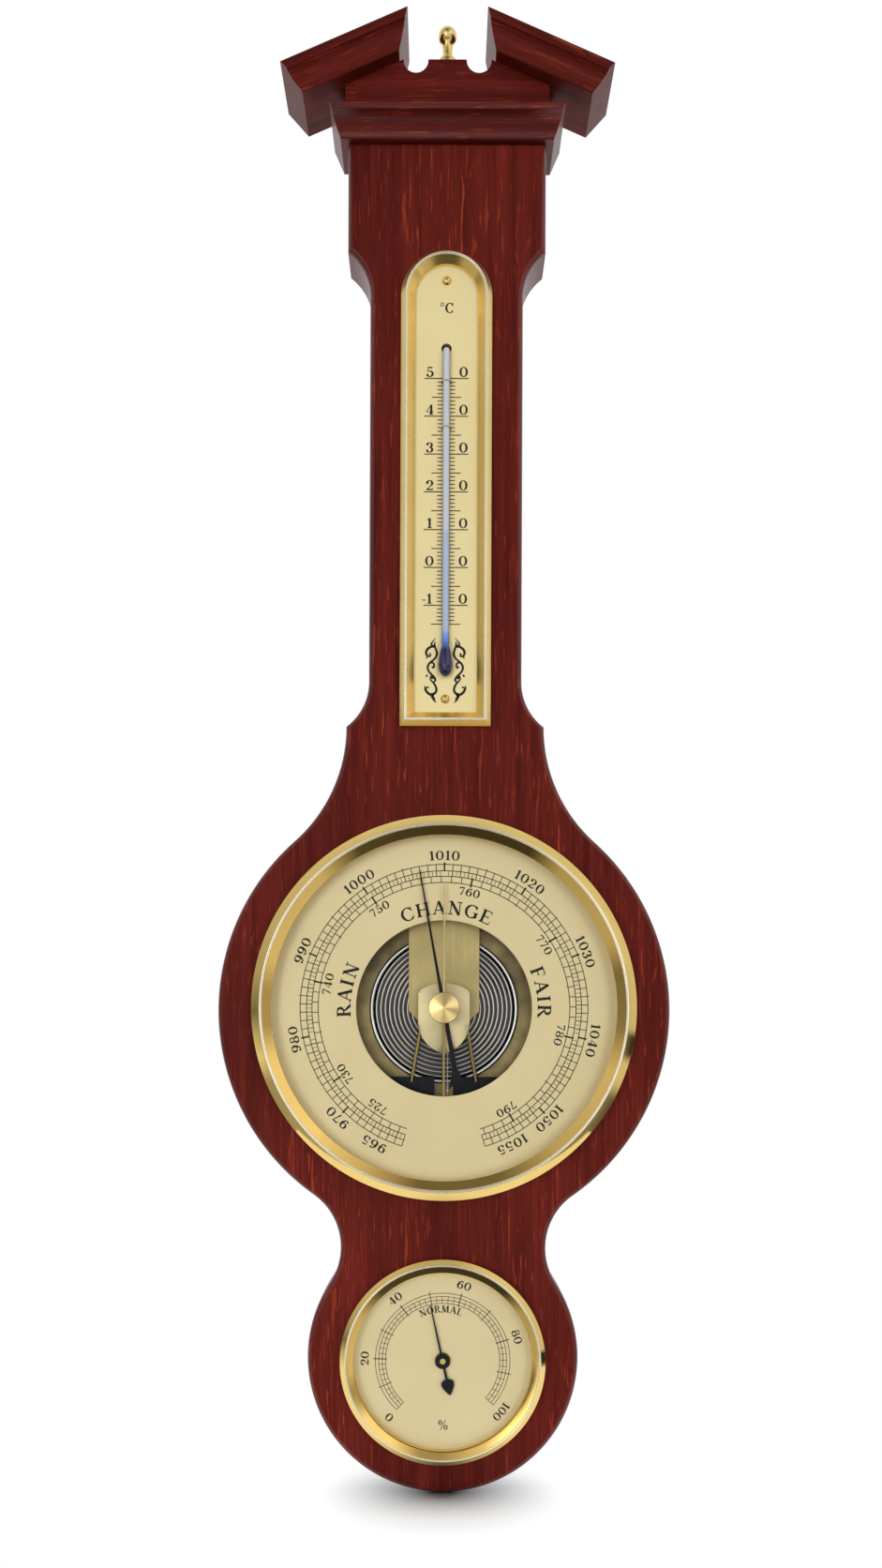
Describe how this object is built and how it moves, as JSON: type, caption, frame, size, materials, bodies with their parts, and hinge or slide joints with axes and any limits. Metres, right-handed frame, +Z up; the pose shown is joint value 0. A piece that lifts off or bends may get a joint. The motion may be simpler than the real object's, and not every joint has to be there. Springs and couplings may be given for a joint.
{
  "type": "banjo barometer",
  "caption": "Wall-hung banjo barometer: mahogany board with a broken pediment, arched spirit thermometer, open-dial aneroid barometer with a set hand, and a hygrometer.",
  "frame": {"origin": "centre of the round entry of the hanger's keyhole, on the wall plane", "axes": "+Z up along the board, +Y into the wall, +X to the right as the viewer sees the front"},
  "size_m": [0.1906, 0.033, 0.6208],
  "materials": {
    "mahogany": "red polish, satin",
    "dowel_wood": "plain",
    "brass": "polished and lacquered",
    "gilt": "brushed, pale",
    "steel": "plain",
    "capsule_silver": "satin nickel",
    "black": "satin",
    "glass": "clear",
    "spirit": "clear blue",
    "coil_metal": "plain"
  },
  "bodies": {
    "root": {"case_board": "mahogany", "tympanum_panel": "mahogany", "left_raking_cornice": "mahogany", "right_raking_cornice": "mahogany", "horizontal_cornice": "mahogany", "cornice_dowels": "dowel_wood", "rake_dowels": "dowel_wood", "finial": "brass", "thermometer_frame": "brass", "tube_staples": "brass", "plate_pins": "brass", "barometer_bezel": "brass", "barometer_spacer_ring": "brass", "hygro_bezel": "brass", "hygro_spacer_ring": "brass", "hygro_bush": "brass", "arbor_bridge": "brass", "arbor_rear_plate": "brass", "bridge_pillars": "brass", "bridge_legs": "brass", "movement_plate": "brass", "dial_pillars": "brass", "hygro_bridge": "brass", "hanger_plate": "brass", "hanger_screws": "brass", "barometer_dial": "gilt", "hygro_dial": "gilt", "thermometer_plate": "gilt", "barometer_case": "steel", "hygro_case": "steel", "movement_screws": "steel", "spring_bracket": "steel", "spring_screws": "steel", "capsule_back": "capsule_silver", "capsule_front": "capsule_silver", "rocker_bracket": "black", "barometer_glass": "glass", "hygro_glass": "glass", "thermometer_tube": "glass", "thermometer_spirit": "spirit"},
    "indicator": {"indicator_arbor": "steel", "indicator_hand": "black", "hairspring": "steel"},
    "set_pointer": {"set_knob": "brass", "set_hand": "brass", "set_washer": "brass"},
    "rocker": {"rocking_shaft": "brass", "chain": "steel"},
    "spring_lever": {"main_spring": "brass", "main_lever": "brass", "capsule_post": "brass", "connecting_link": "brass"},
    "regulator": {"regulator_screw": "brass"},
    "humidity_pointer": {"hygro_arbor": "brass", "hygro_hand": "black", "hygro_coil": "coil_metal"}
  },
  "joints": [
    {"name": "indicator_turn", "type": "hinge", "parent": "root", "child": "indicator", "pos_m": [0, -0.022, -0.345], "axis": [0, 1, 0], "range_deg": [-152.8, 173.2], "stiffness_Nm_per_rad": 0.002, "deforming": ["hairspring"]},
    {"name": "rocker_turn", "type": "hinge", "parent": "root", "child": "rocker", "pos_m": [0, -0.0085, -0.3855], "axis": [1, 0, 0], "range_deg": [-24.5, 27.7], "deforming": ["chain"]},
    {"name": "spring_flex", "type": "hinge", "parent": "root", "child": "spring_lever", "pos_m": [0, -0.013, -0.307], "axis": [1, 0, 0], "range_deg": [-0.66, 0.75], "deforming": ["main_spring", "capsule_front"]},
    {"name": "set_hand_turn", "type": "hinge", "parent": "root", "child": "set_pointer", "pos_m": [0, -0.022, -0.345], "axis": [0, 1, 0], "continuous": true},
    {"name": "humidity_turn", "type": "hinge", "parent": "root", "child": "humidity_pointer", "pos_m": [0, -0.022, -0.493], "axis": [0, 1, 0], "range_deg": [-124.4, 143.6], "stiffness_Nm_per_rad": 0.001, "deforming": ["hygro_coil"]},
    {"name": "regulator_turn", "type": "hinge", "parent": "root", "child": "regulator", "pos_m": [0, 0, -0.287], "axis": [0, 1, 0], "range_deg": [-180, 180]}
  ],
  "couplings": [
    {"joint": "rocker_turn", "follows": "indicator_turn", "ratio": 0.15663},
    {"joint": "spring_flex", "follows": "indicator_turn", "ratio": 0.0040808}
  ]
}
